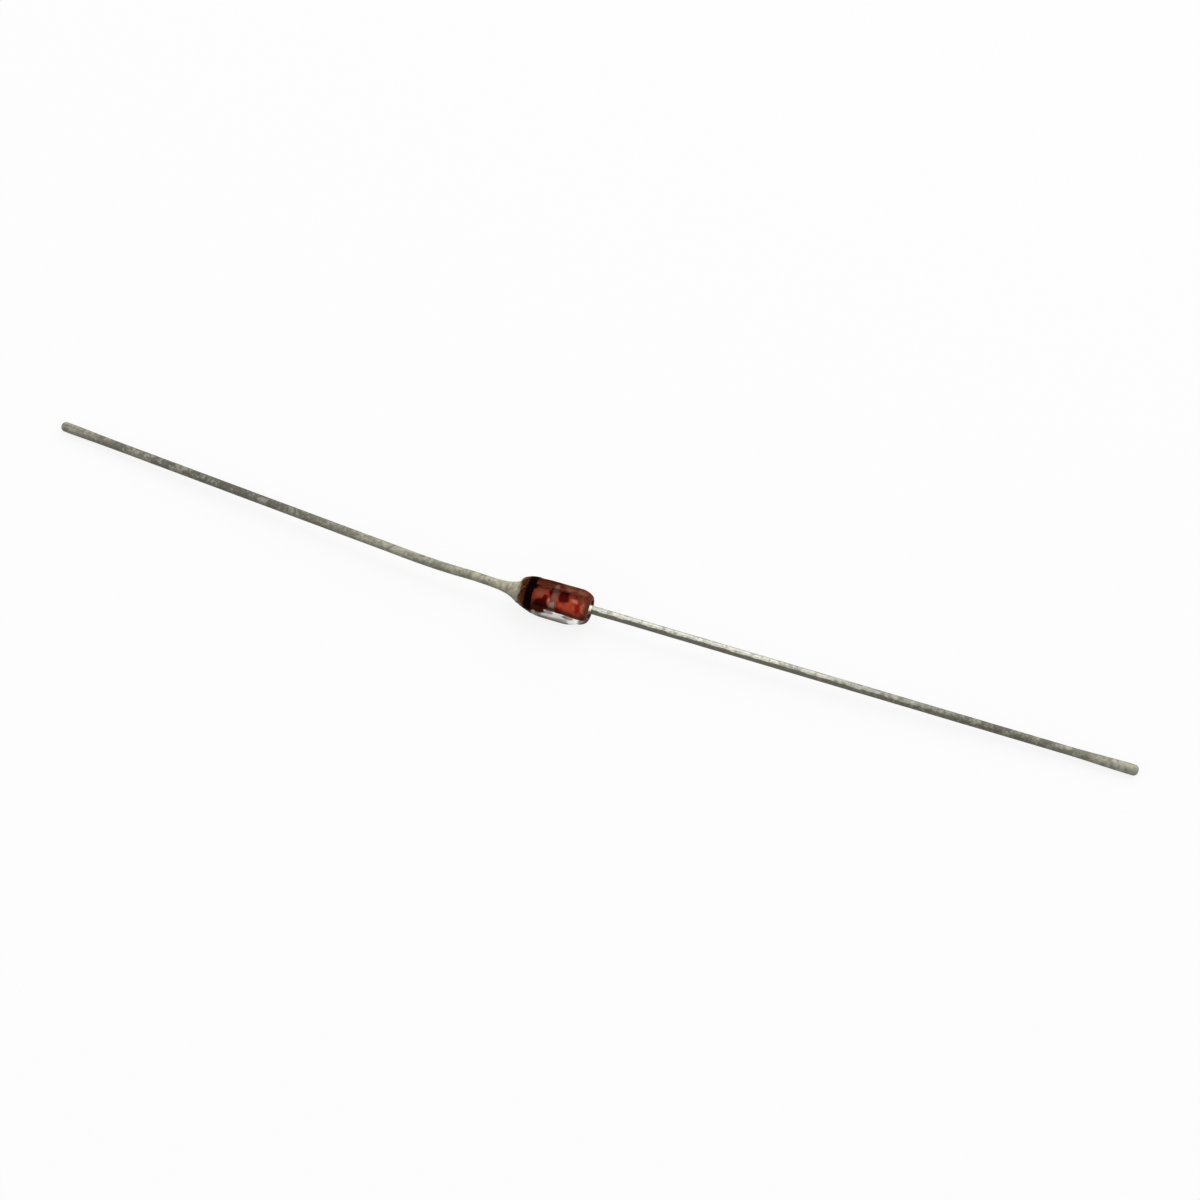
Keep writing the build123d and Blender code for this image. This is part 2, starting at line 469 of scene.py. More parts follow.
def revolved(name, profile, sides, axis=Vector()):
    """Mesh object of a profile (x, radius) turned about an axis along X, pole to pole or a closed loop."""
    poles = profile[0][1] == 0.0 and profile[-1][1] == 0.0
    turns = [2 * math.pi * side / sides for side in range(sides)]
    mesh = bmesh.new()
    rings = []
    for x, radius in profile:
        if radius == 0.0:
            rings.append([mesh.verts.new((x, axis.y, axis.z))] * sides)
            continue
        ring = [(x, axis.y + radius * math.cos(t), axis.z + radius * math.sin(t)) for t in turns]
        rings.append([mesh.verts.new(point) for point in ring])
    pairs = list(zip(rings, rings[1:]))
    if not poles:
        pairs.append((rings[-1], rings[0]))
    for first, second in pairs:
        for side in range(sides):
            after = (side + 1) % sides
            corners = [first[side], first[after], second[after], second[side]]
            mesh.faces.new(list(dict.fromkeys(corners)))
    return from_bmesh(name, mesh)


def from_bmesh(name, mesh):
    """Turns a bmesh into a smooth shaded object at the origin, with its faces pointing outwards."""
    bmesh.ops.recalc_face_normals(mesh, faces=mesh.faces)
    data = bpy.data.meshes.new(name)
    mesh.to_mesh(data)
    mesh.free()
    data.shade_smooth()
    data.set_sharp_from_angle(angle=SHARP_EDGE)
    return linked(name, data)


def linked(name, data):
    """An object of the scene for a mesh, a curve, a light or a camera."""
    piece = bpy.data.objects.new(name, data)
    bpy.context.scene.collection.objects.link(piece)
    return piece


def move_points(piece, move):
    """Moves each point of a mesh to where a function puts it."""
    for vertex in piece.data.vertices:
        vertex.co = move(vertex.co)
    piece.data.update()


def dress(piece, material, node):
    """Gives a piece its finish, and lets it stand for a solid and ride with the body."""
    if material is not None:
        piece.data.materials.append(material)
    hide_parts(node)
    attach(piece, BODY)


def end_face_radius(glass):
    """Radius where each shoulder meets the flat end, wide enough for the mouth that sits off the middle."""
    return BORE_RADIUS + glass.mouth_rounding + CORE.length + glass.end_land


def shoulder_radius(glass, x):
    """Outside radius of the glass at x."""
    land = end_face_radius(glass)
    shoulder = glass.cathode_shoulder if x < 0 else glass.anode_shoulder
    run = max(0.0, abs(x) - (GLASS_END - shoulder)) / shoulder
    return land + (glass.diameter / 2 - land) * math.sqrt(max(0.0, 1.0 - run * run))


def glass_profile(glass):
    """Closed half section of the tube: round the cathode shoulder, the anode shoulder and the bore."""
    land = end_face_radius(glass)
    radius = glass.diameter / 2
    cathode_top = glass.cathode_shoulder - GLASS_END
    anode_top = GLASS_END - glass.anode_shoulder
    rounding = glass.mouth_rounding
    inner = GLASS_END - rounding
    mouth = BORE_RADIUS + rounding
    profile = arc_points((cathode_top, land), glass.cathode_shoulder, radius - land, 180, 90, CATHODE_STEPS)
    profile += straight_points(profile[-1], (anode_top, radius), BARREL_STEPS)
    profile += arc_points((anode_top, land), glass.anode_shoulder, radius - land, 90, 0, ANODE_STEPS)
    profile += arc_points((inner, mouth), rounding, rounding, 0, -90, MOUTH_STEPS)
    profile += straight_points((inner, BORE_RADIUS), (-inner, BORE_RADIUS), BORE_STEPS)
    profile += arc_points((-inner, mouth), rounding, rounding, -90, -180, MOUTH_STEPS)
    return profile


# Film on the glass seen from the front: place along X, place towards the lower front, and half sizes, in mm
FRINGE_PATCHES = ((0.02, 0.57, 0.26, 0.08), (0.97, 0.59, 0.30, 0.10))
PALE_PATCHES = ((0.09, -0.70, 0.13, 0.14),)
CREAM_PATCHES = ((-0.78, 0.74, 0.10, 0.10), (-0.66, 0.86, 0.12, 0.05))

# Shares of cover between which a film comes to its own colour
COLOURED = (0.0, 0.3)


def glass_material(glass):
    """Glass with draw marks, under a film that burnt on at both ends, and painted shade as a dark film along
    its upper back rim and its lower edge, where the glass colour is darkened as painted shade too.
    """
    material, graph = new_material("sleeve_glass")
    rise, blend = graph.rise, graph.blend
    place_mm, along, across = graph.places()
    above = graph.vector("DOT_PRODUCT", place_mm, UPPER_FRONT)
    drawn = graph.noise(graph.millimetres(0.35), 2.6, detail=2.0)
    ripple = graph.noise(place_mm, 5.0, detail=1.0)
    streak = graph.noise(graph.millimetres(0.16), 8.0, detail=4.0, roughness=0.6)
    smoke = graph.noise(graph.millimetres(0.7), 2.0, detail=4.0, roughness=0.6)
    fleck = graph.noise(place_mm, 6.5, detail=4.0, roughness=0.65)
    fine = graph.noise(place_mm, 14.0, roughness=0.6)
    wander = (fleck - 0.5) * 0.5
    at = (along, across, wander)
    lit = rise(along, 0.85, 1.10)
    # Painted shade: the glass colour darkens towards the lower edge, less near the anode end
    edge_shade = rise(across - lit * 0.20 + (streak - 0.5) * 0.9, 0.35, 0.82)
    clear = graph.principled(
        base_color=blend(edge_shade, glass.tint, glass.edge_tint),
        roughness=rise(streak, 0.55, 0.85) * 0.10,
        ior=1.5,
        transmission_weight=1.0,
        specular_tint=(0.03, 0.03, 0.03),
        normal=graph.bump(drawn + 0.4 * ripple, 0.004 * MM, 0.6),
    )

    # Where the film lies; along the lower edge and the upper back rim it is painted shade
    front = rise(above + wander * 0.5, -0.46, -0.28)
    # Painted shade along the lower edge of the glass
    lower_edge_shade = rise(across - lit * 0.12 + (streak - 0.5) * 0.15, 0.70, 0.88) * front
    # Painted shade along the upper back rim of the glass
    soot_and_rim_shade = rise(wander * 0.2 - across, 0.57, 0.66) * front
    fringe = graph.patches(at, FRINGE_PATCHES)
    inner = 1.0 - rise(across, 0.60, 0.72)
    outer = rise(across + wander * 0.5, 0.64, 0.80)
    stain = rise(wander * 1.3 - along + inner * 0.3, 0.28, 0.54)
    stain = stain * rise(across + wander * 0.3, 0.41, 0.51)
    burnt = rise(wander * 0.6 - along, 1.26, 1.46)
    browned = rise(along + wander * 0.7 + graph.most(across, 0.0) * 0.2, 1.50, 1.68)

    # What colour it has there
    smeared = rise((smoke - 0.5) * 0.5 + wander * 0.2 - along, 1.62, 1.74)
    charred = graph.coats(
        blend(rise(fleck * 0.5 + fine * 0.5, 0.50, 0.62), glass.burnt, glass.fleck),
        # Painted shade: the burnt glass darkens towards the lower edge
        (rise(across + wander, 0.30, 0.60) * 0.35, glass.edge),
        (smeared, blend(fine, scaled(glass.smear, 0.8), glass.smear)),
    )
    film = graph.coats(
        blend(rise(smoke + along * 0.10, 0.46, 0.64), glass.soot_and_rim_shade, glass.pale_soot),
        # Painted shade: darker along the very top of the rim, redder below it
        (rise(0.0 - across, 0.74, 0.90) * 0.45, glass.stain),
        (rise(across + wander * 0.3, -0.74, -0.60) * 0.65, glass.ruddy_film),
        (graph.patches(at, PALE_PATCHES), glass.pale_film),
        # Painted shade: the lower half of the film takes the lower edge colour
        (rise(across, -0.35, 0.35), glass.edge),
        (rise(fine, 0.35, 0.65) * 0.30, glass.stain),
        (rise(stain, *COLOURED) * (1.0 - outer * 0.75), glass.stain),
        (rise(fringe, *COLOURED), glass.soot_and_rim_shade),
        (graph.patches(at, CREAM_PATCHES), glass.cream),
        (rise(browned, *COLOURED), blend(rise(across + wander, 0.05, 0.50), glass.amber, glass.dark_amber)),
        (rise(burnt, *COLOURED), charred),
    )
    skin = graph.principled(base_color=film, roughness=0.6, specular_ior_level=0.0)
    stained = graph.most(stain * (1.0 - outer * 0.12), fringe * 0.7)
    cover = graph.most(lower_edge_shade, soot_and_rim_shade, stained, burnt * 0.95, browned * (0.55 + 0.5 * fleck))
    graph.mixed_surface(cover, clear, skin)
    return material


# Where the melt begins, from the middle of the glass, and how far on it is complete, in mm
MELT_START = 0.65
MELT_RUN = 0.75


def melted(glass, point):
    """Where the melt left a point of the outside: both ends went up and back, and in on the lower front."""
    melt = min(1.0, max(0.0, (abs(point.x) / MM - MELT_START) / MELT_RUN))
    melt = melt * melt * (3 - 2 * melt)
    lowness = max(0.0, point.dot(LOWER_FRONT) / math.hypot(point.y, point.z))
    moved = point - LOWER_FRONT * melt * (glass.melt_shift + glass.melt_draw * lowness)
    inward = min(1.0, glass.diameter / 2 / math.hypot(moved.y, moved.z))
    return Vector((moved.x, moved.y * inward, moved.z * inward))


class ZENER_OT_glass(bpy.types.Operator):
    """Make the melted glass tube"""

    bl_idname = "zener.make_glass"
    bl_label = "Glass Tube"

    def execute(self, context):
        glass = context.scene.zener_glass
        piece = revolved("glass_tube", glass_profile(glass), glass.sides)

        def draw_marks(point):
            radius = math.hypot(point.y, point.z)
            if radius < end_face_radius(glass) - CORE.length:
                return point + CORE
            wave = noise.noise(Vector((0.5 * point.x, point.y, point.z)) / MM) * 0.5 + 0.5
            inward = 1.0 - glass.waviness * wave / radius
            return melted(glass, Vector((point.x, point.y * inward, point.z * inward)))

        move_points(piece, draw_marks)
        dress(piece, glass_material(glass), "glass_sleeve")
        return {"FINISHED"}


# Oxide blotches and pink painted highlights seen from the front: place along X, place towards the lower
# front, and half sizes, in mm
MAROON_BLOTCHES = (
    (-0.15, -0.22, 0.11, 0.20),
    (-0.48, 0.28, 0.32, 0.19),
    (-1.00, -0.36, 0.13, 0.15),
    (0.50, -0.17, 0.23, 0.25),
    (1.50, 0.44, 0.14, 0.07),
    (-0.38, 0.06, 0.13, 0.15),
)
DEEP_STREAKS = ((1.24, 0.12, 0.11, 0.24), (0.30, 0.34, 0.20, 0.10), (-0.36, -0.01, 0.11, 0.08))
PINK_HIGHLIGHTS = ((1.04, -0.14, 0.18, 0.09), (1.50, 0.03, 0.12, 0.26), (-0.19, 0.20, 0.09, 0.18))
AMBER_PATCHES = ((1.42, -0.32, 0.26, 0.18), (-0.68, -0.10, 0.30, 0.18))


def oxide_material(slugs):
    """Red copper oxide under glass: brick and red mottle, blotches, brown patches, pink painted highlights,
    and painted shade along its lower front edge.
    """
    material, graph = new_material("red_oxide")
    place_mm, along, across = graph.places(CORE)
    coarse = graph.noise(place_mm, 2.2, distortion=0.6)
    fine = graph.noise(place_mm, 8.0, detail=4.0, roughness=0.6)
    wander = (graph.noise(place_mm, 3.2, detail=5.0, roughness=0.65) - 0.5) * 2.2
    at = (along, across, wander)
    # Pink painted highlights, broken up by a noise
    pink = graph.patches(at, PINK_HIGHLIGHTS, 0.45, 1.25) * graph.rise(fine, 0.15, 0.48)
    crept = graph.rise(SLUG_FACE / MM + slugs.creep / MM + wander * 0.03 - along, 0.0, 0.03)
    colour = graph.coats(
        graph.blend(graph.rise(coarse * 0.6 + fine * 0.4, 0.42, 0.57), slugs.brick_oxide, slugs.red_oxide),
        (graph.patches(at, AMBER_PATCHES, 0.40, 1.30) * 0.9, slugs.amber_oxide),
        (graph.patches(at, DEEP_STREAKS, 0.50, 1.25), slugs.deep_oxide),
        (pink, slugs.pink_highlight),
        (graph.patches(at, MAROON_BLOTCHES, 0.70, 1.20), slugs.maroon_oxide),
        # Painted shade: the oxide darkens along the lower front edge of each slug
        (graph.rise(across + wander * 0.02, 0.30, 0.43) * 0.65, scaled(slugs.brick_oxide, 0.3)),
        (crept * graph.rise(along, 0.0, 0.01) * 0.85, slugs.fringe),
    )
    graph.surface(
        base_color=colour,
        roughness=0.45 + 0.25 * fine,
        specular_ior_level=0.05,
        normal=graph.bump(fine, 0.004 * MM),
    )
    return material


def fringe_material(slugs):
    """Thin brown film of copper oxide on the wall of the gap, paler in places."""
    material, graph = new_material("oxide_film")
    place_mm, along, across = graph.places(CORE)
    fine = graph.noise(place_mm, 7.0, detail=4.0, roughness=0.6)
    pale = graph.rise(across + (fine - 0.5) * 0.5, 0.02, 0.25) * (1.0 - graph.rise(across, 0.28, 0.40))
    colour = graph.coats(
        graph.blend(graph.rise(fine, 0.35, 0.65), scaled(slugs.fringe, 0.6), slugs.fringe),
        (pale, slugs.pale_fringe),
        (graph.rise((fine - 0.5) * 0.10 - along, 0.02, 0.06) * (1.0 - pale), slugs.brick_oxide),
    )
    graph.surface(base_color=colour, roughness=0.4 + 0.2 * fine, specular_ior_level=0.2)
    return material


class ZENER_OT_slugs(bpy.types.Operator):
    """Make the two oxide coated slugs and the film between them"""

    bl_idname = "zener.make_slugs"
    bl_label = "Slugs"

    def execute(self, context):
        slugs = context.scene.zener_slugs
        material = oxide_material(slugs)
        radius = BORE_RADIUS + slugs.seal
        face, end, chamfer = SLUG_FACE, SLUG_END, slugs.chamfer
        near, far = (face + chamfer, radius), (end - chamfer, radius)
        profile = [(face, 0.0), (face, radius * 0.5), (face, radius - chamfer), near]
        profile += straight_points(near, far, SLUG_STEPS)
        profile += [far, (end, radius - chamfer), (end, radius * 0.5), (end, 0.0)]
        for name, side in (("cathode_oxide_slug", -1), ("anode_oxide_slug", 1)):
            piece = revolved(name, [(side * x, r) for x, r in profile], slugs.sides, CORE)
            dress(piece, material, "cathode_slug" if side < 0 else "anode_slug")
        self.make_fringe(slugs, radius)
        return {"FINISHED"}

    def make_fringe(self, slugs, radius):
        """The film of oxide that crept from both slugs over the wall of the gap."""
        reach = SLUG_FACE + slugs.chamfer * 0.5
        start, end = (-reach, radius), (reach, radius)
        outside = [start, *straight_points(start, end, FRINGE_STEPS), end]
        inside = [(x, radius - 2 * slugs.seal) for x, _ in reversed(outside)]
        piece = revolved("oxide_fringe", outside + inside, slugs.sides, CORE)
        dress(piece, fringe_material(slugs), "anode_slug")


def chip_material(chip):
    """Sawn silicon, dark and slightly scratched."""
    material, graph = new_material("sawn_silicon")
    scratch = graph.noise(graph.millimetres(1.0, 14.0, 2.0), 6.0, detail=4.0)
    shade = graph.blend(graph.rise(scratch, 0.3, 0.7), scaled(chip.silicon, 0.6), chip.silicon)
    graph.surface(base_color=shade, metallic=0.6, roughness=0.2 + 0.3 * scratch)
    return material


def silver_material(chip):
    """Plated silver with a grain."""
    material, graph = new_material("plated_silver")
    grain = graph.noise(graph.millimetres(), 40.0)
    shade = graph.blend(grain, scaled(chip.silver, 0.75), chip.silver)
    relief = graph.bump(grain, 0.002 * MM)
    graph.surface(base_color=shade, metallic=1.0, roughness=0.25 + 0.2 * grain, normal=relief)
    return material


class ZENER_OT_chip(bpy.types.Operator):
    """Make the silicon chip and its silver button"""

    bl_idname = "zener.make_chip"
    bl_label = "Chip and Button"

    def execute(self, context):
        chip = context.scene.zener_chip
        block = bmesh.new()
        bmesh.ops.create_cube(block, size=1.0)
        centre, size = (DIE_LOW + DIE_HIGH) / 2, DIE_HIGH - DIE_LOW
        bmesh.ops.scale(block, vec=size, verts=block.verts)
        bmesh.ops.translate(block, vec=centre, verts=block.verts)
        bmesh.ops.bevel(block, geom=block.edges, offset=chip.edge, segments=3, affect="EDGES")
        dress(from_bmesh("silicon_chip", block), chip_material(chip), "zener_die")
        radius = (BUMP_HIGH.z - BUMP_LOW.z) / 2
        base, face, rounding = BUMP_LOW.x, BUMP_HIGH.x, chip.button_rounding
        corner = (face - rounding, radius - rounding)
        profile = [(base, 0.0), (base, radius)]
        profile += [*arc_points(corner, rounding, rounding, 90, 0, BUTTON_STEPS), (face, 0.0)]
        button = revolved("silver_button", profile, chip.sides, CORE)
        dress(button, silver_material(chip), "contact_bump")
        return {"FINISHED"}


def paint_material(band):
    """Black band paint, a little worn, thin along the cathode edge and dusty on the lower front."""
    material, graph = new_material("band_paint")
    place_mm, along, across = graph.places()
    fine = graph.noise(place_mm, 12.0, detail=4.0, roughness=0.6)
    worn = graph.noise(place_mm, 4.0)
    thin = graph.rise(0.0 - along + (fine - 0.5) * 0.3, 1.30, 1.44)
    low = graph.rise(across + (worn - 0.5) * 0.4, 0.62, 0.90)
    high = graph.rise(0.0 - across, 0.70, 0.92) * 0.15
    colour = graph.coats(
        band.paint,
        (graph.rise(fine * 0.6 + worn * 0.4, 0.55, 0.70), band.scuff),
        (thin * (0.4 + 0.6 * graph.rise(worn, 0.35, 0.60)), band.rim),
        (graph.most(low * 0.8, high), band.rim),
        (low * graph.rise(fine, 0.50, 0.62), band.smudge),
    )
    graph.surface(
        base_color=colour,
        roughness=0.45 + 0.25 * worn,
        specular_ior_level=0.0,
        normal=graph.bump(fine, 0.004 * MM),
    )
    return material


# Share of the paint's thickness at its edges, and the waves of the edges: depth, scale and start of each
THIN_EDGE = 0.25
EDGE_WAVES = ((0.7, 2.1, 5.0), (0.3, 9.0, 9.0))


class ZENER_OT_band(bpy.types.Operator):
    """Make the painted cathode band"""

    bl_idname = "zener.make_band"
    bl_label = "Painted Band"

    def execute(self, context):
        band = context.scene.zener_band
        glass = context.scene.zener_glass
        low, high = BAND_LOW.x, BAND_HIGH.x
        middle = (low + high) / 2
        stations = [low + (high - low) * step / BAND_STEPS for step in range(BAND_STEPS + 1)]
        outer = []
        for x in stations:
            edge = min(x - low, high - x) / band.thickness
            full = math.sqrt(max(0.0, 1.0 - max(0.0, 1.0 - edge) ** 2))
            coat = band.thickness * (THIN_EDGE + (1 - THIN_EDGE) * full)
            outer.append((x, shoulder_radius(glass, x) + coat))
        inner = [(x, shoulder_radius(glass, x) - glass.waviness) for x in reversed(stations)]
        piece = revolved("painted_band", outer + inner, band.sides)

        def wander(point):
            turn = Vector((0.0, point.y, point.z)).normalized()
            side = 1 if point.x > middle else -1
            wave = 0.0
            for depth, scale, start in EDGE_WAVES:
                wave += depth * noise.noise(turn * scale + Vector((side * start, 0.0, 0.0)))
            share = abs(point.x - middle) / (high - middle)
            drawn = band.edge_wander * share * (wave - 1.0)
            return melted(glass, Vector((point.x + side * drawn, point.y, point.z)))

        move_points(piece, wander)
        dress(piece, paint_material(band), "cathode_band")
        return {"FINISHED"}


WIRE_SIZES = (
    "Bend Radius",
    "Wire Radius",
    "Tip Radius",
    "Tip Rounding",
    "Dipped Length",
    "Flare Radius",
    "Flare Length",
    "Flare Lap",
    "Flare Sag",
    "Lump Depth",
    "Seed",
)
WIRE_INPUTS = {
    "NodeSocketFloat": WIRE_SIZES,
    "NodeSocketInt": ("Rings", "Sides"),
    "NodeSocketMaterial": ("Material",),
}
BEND_STEPS = 96
FLARE_CURVE = 4.6
END_CROWDING = 0.90
LUMP_STRETCH = (0.7 / MM, 1.0 / MM, 1.0 / MM)
VECTORS = {"data_type": "FLOAT_VECTOR"}


def wire_tree():
    """Geometry Nodes that run a tinned wire along a bent route, with its flare, dipped tip and lumps."""
    tree = bpy.data.node_groups.new("tinned_wire_on_route", "GeometryNodeTree")
    tree.interface.new_socket("Route", in_out="INPUT", socket_type="NodeSocketGeometry")
    for kind, names in WIRE_INPUTS.items():
        for name in names:
            tree.interface.new_socket(name, in_out="INPUT", socket_type=kind)
    tree.interface.new_socket("Wire", in_out="OUTPUT", socket_type="NodeSocketGeometry")
    graph = Graph(tree)
    given = graph.add("NodeGroupInput")

    def changed(kind, geometry, settings=None, **sockets):
        """A geometry after a node that changes it."""
        return graph.add("GeometryNode" + kind, settings, {"Geometry": geometry, **sockets})["Geometry"]

    # The route: straight runs with one long bend between them
    bend = {
        "Curve": given["Route"],
        "Count": BEND_STEPS,
        "Radius": given["Bend Radius"],
        "Limit Radius": False,
    }
    route = graph.add("GeometryNodeFilletCurve", {"mode": "POLY"}, bend)["Curve"]
    whole = graph.add("GeometryNodeCurveLength", None, {"Curve": route})["Length"]

    # Rings stand closer together at the flare and at the tip
    line = graph.add("GeometryNodeCurvePrimitiveLine")["Curve"]
    line = graph.add("GeometryNodeResampleCurve", None, {"Curve": line, "Count": given["Rings"]})["Curve"]
    share = graph.add("GeometryNodeSplineParameter")["Factor"]
    crowding = graph.math("SINE", share * (2 * math.pi)) * (END_CROWDING / (2 * math.pi))
    line = changed("StoreNamedAttribute", line, Name="reach", Value=whole * (share - crowding))
    reach = graph.add("GeometryNodeInputNamedAttribute", None, {"Name": "reach"})["Attribute"]
    on_route = {"Curves": route, "Length": reach}
    on_route = graph.add("GeometryNodeSampleCurve", {"mode": "LENGTH"}, on_route)["Position"]
    line = changed("SetPosition", line, Position=on_route)

    # The flare of weld metal hangs to the lower front
    spread = graph.most(1.0 - (reach - given["Flare Lap"]) / given["Flare Length"], 0.0)
    spread = graph.math("MINIMUM", spread, 1.0)
    hang = spread * given["Flare Sag"]
    hang = graph.add("ShaderNodeCombineXYZ", None, {"Y": 0.0 - hang, "Z": hang * -0.5})["Vector"]
    line = changed("SetPosition", line, Offset=hang)
    centre = graph.add("GeometryNodeInputPosition")["Position"]
    line = changed("StoreNamedAttribute", line, VECTORS, Name="centre", Value=centre)

    # Radius: the wire, plus its flare, plus its dipped tip, less the rounding of the tip
    wire, rounding = given["Wire Radius"], given["Tip Rounding"]
    flare = (given["Flare Radius"] - wire) * spread**FLARE_CURVE
    from_tip = whole - reach
    dipped = 1.0 - graph.rise(from_tip, rounding, given["Dipped Length"])
    near_tip = graph.most(1.0 - from_tip / rounding, 0.0)
    cut = 1.0 - graph.math("SQRT", graph.most(1.0 - near_tip**2.0, 0.0))
    radius = wire + flare + (given["Tip Radius"] - wire) * dipped - rounding * cut
    ring = {"Resolution": given["Sides"], "Radius": 1.0}
    ring = graph.add("GeometryNodeCurvePrimitiveCircle", None, ring)["Curve"]
    sweep = {"Curve": line, "Profile Curve": ring, "Scale": radius, "Fill Caps": True}
    skin = graph.add("GeometryNodeCurveToMesh", None, sweep)["Mesh"]

    # Direction from the centre line, for the finish
    here = graph.add("GeometryNodeInputPosition")["Position"]
    middle = graph.add("GeometryNodeInputNamedAttribute", VECTORS, {"Name": "centre"})["Attribute"]
    around = graph.vector("NORMALIZE", graph.vector("SUBTRACT", here, middle))
    skin = changed("StoreNamedAttribute", skin, VECTORS, Name="around", Value=around)

    # Hollows between the lumps of tin, cut inwards only
    seeded = graph.vector("ADD", graph.vector("MULTIPLY", here, LUMP_STRETCH), given["Seed"])
    hollow = graph.noise(seeded, 1.1, detail=2.0) * 0.7 + graph.noise(seeded, 4.0, detail=2.0) * 0.3
    normal = graph.add("GeometryNodeInputNormal")["Normal"]
    offset = graph.vector("MULTIPLY", normal, (0.0 - given["Lump Depth"]) * hollow)
    skin = changed("SetPosition", skin, Offset=offset)
    skin = changed("SetShadeSmooth", skin)
    skin = changed("RealizeInstances", skin)
    skin = changed("SetMaterial", skin, Material=given["Material"])
    graph.add("NodeGroupOutput", None, {"Wire": skin})
    return tree


def run_wire(name, tree, route_points, inputs):
    """Runs the wire tree on a route and returns its result as a plain mesh object."""
    curve = bpy.data.curves.new(name + "_route", "CURVE")
    curve.dimensions = "3D"
    spline = curve.splines.new("POLY")
    spline.points.add(len(route_points) - 1)
    for point, target in zip(spline.points, route_points):
        point.co = (*target, 1.0)
    carrier = linked(name + "_route", curve)
    modifier = carrier.modifiers.new("wire", "NODES")
    modifier.node_group = tree
    for item in tree.interface.items_tree:
        if item.in_out == "INPUT" and item.name in inputs:
            modifier[item.identifier] = inputs[item.name]
    bpy.context.view_layer.update()
    evaluated = carrier.evaluated_get(bpy.context.evaluated_depsgraph_get())
    mesh = bpy.data.meshes.new_from_object(evaluated)
    mesh.name = name
    carrier.modifiers.remove(modifier)
    bpy.data.objects.remove(carrier)
    bpy.data.curves.remove(curve)
    mesh.attributes.remove(mesh.attributes["centre"])
    return linked(name, mesh)


class TinGraph(Graph):
    """The graph of a tinned lead's finish, with the patterns that both leads share."""

    def __init__(self, tree):
        super().__init__(tree)
        place_mm = self.millimetres()
        around = self.add("ShaderNodeAttribute", {"attribute_name": "around"})["Vector"]
        self.reach = self.add("ShaderNodeAttribute", {"attribute_name": "reach"})["Fac"] / MM
        self.lowness = self.vector("DOT_PRODUCT", around, LOWER_FRONT)
        self.mottle = self.noise(place_mm, 0.9, detail=4.0, roughness=0.6)
        self.spots = self.noise(place_mm, 4.5, detail=5.0, roughness=0.65)
        self.grain = self.noise(place_mm, 9.0, detail=4.0, roughness=0.65)
        self.streak = self.noise(self.millimetres(0.22), 7.0, detail=4.0, roughness=0.6)

    def speckled(self, leads, colour):
        """A tin colour under dark spots and pale specks, and darker on the lower front as painted shade."""
        tone = self.spots * 0.40 + self.streak * 0.25 + self.mottle * 0.35
        pale = self.spots * 0.45 + self.grain * 0.15 + self.mottle * 0.40
        low = self.lowness + (self.streak - 0.5) * 0.6
        return self.coats(
            colour,
            (self.rise(tone, 0.55, 0.44) * 0.50, leads.dark_tin),
            (self.rise(pale, 0.50, 0.58) * 0.45, leads.pale_tin),
            # Painted shade: darker towards the lower front of the wire
            (self.rise(low, -0.6, 1.0) * 0.60, leads.dark_tin),
        )

    def tin_surface(self, colour, shine):
        """Ends the material: tin with a grain, smoother where it shines."""
        self.surface(
            base_color=colour,
            metallic=0.35 + 0.30 * shine,
            roughness=0.48 + 0.15 * self.grain - 0.15 * shine,
            specular_tint=(0.5, 0.5, 0.5),
            normal=self.bump(self.spots * 0.6 + self.streak * 0.4, 0.020 * MM),
        )


def weathered_tin_material(leads):
    """Cathode lead: beige weld metal, then grey tin that has gone dull towards its middle."""
    material, tin = new_material("weathered_tin", TinGraph)
    reach = tin.reach + (tin.mottle - 0.5) * 7.0
    weld = 1.0 - tin.rise(tin.reach + (tin.grain - 0.5), 0.8, 4.0)
    wrinkle = tin.noise(tin.millimetres(1.0, 0.3, 0.3), 9.0, roughness=0.6)
    colour = tin.coats(
        leads.grey_tin,
        (tin.rise(reach, 7.0, 14.0), leads.dull_tin),
        (tin.rise(reach, 20.0, 25.0) * 0.6, leads.grey_tin),
        (weld, leads.beige_tin),
        (weld * tin.rise(wrinkle, 0.52, 0.40) * 0.45, leads.dull_tin),
    )
    tin.tin_surface(tin.speckled(leads, colour), 0.0)
    return material


def shining_tin_material(leads):
    """Anode lead: tin that shines near the glass, with a painted highlight along its top and painted shade
    on its underside, and goes dull towards its end.
    """
    material, tin = new_material("shining_tin", TinGraph)
    reach = tin.reach + (tin.mottle - 0.5) * 8.0
    dull = tin.blend(tin.rise(reach, 20.0, 25.0), leads.dull_tin, leads.grey_tin)
    low = tin.lowness + (tin.streak - 0.5) * 0.9
    # Painted highlight along the top of the shining wire, fading to a shaded copy of its colour lower down
    top_highlight = tin.rise(low, -0.35, -0.05) * 0.6 + tin.rise(tin.streak, 0.42, 0.58) * 0.4
    worn = tin.rise(tin.spots * 0.6 + tin.mottle * 0.4, 0.51, 0.42)
    # Painted shade on the underside of the shining wire
    under = tin.blend(tin.rise(tin.grain, 0.40, 0.60), leads.under_tin, leads.dull_tin)
    bright = tin.coats(
        tin.blend(top_highlight, scaled(leads.bright_tin, 0.64), leads.bright_tin),
        (worn * 0.6, leads.dull_tin),
        (tin.rise(low, -0.14, 0.08), under),
    )
    shine = 1.0 - tin.rise(reach, 8.0, 21.0)
    tin.tin_surface(tin.blend(shine, tin.speckled(leads, dull), bright), shine)
    return material


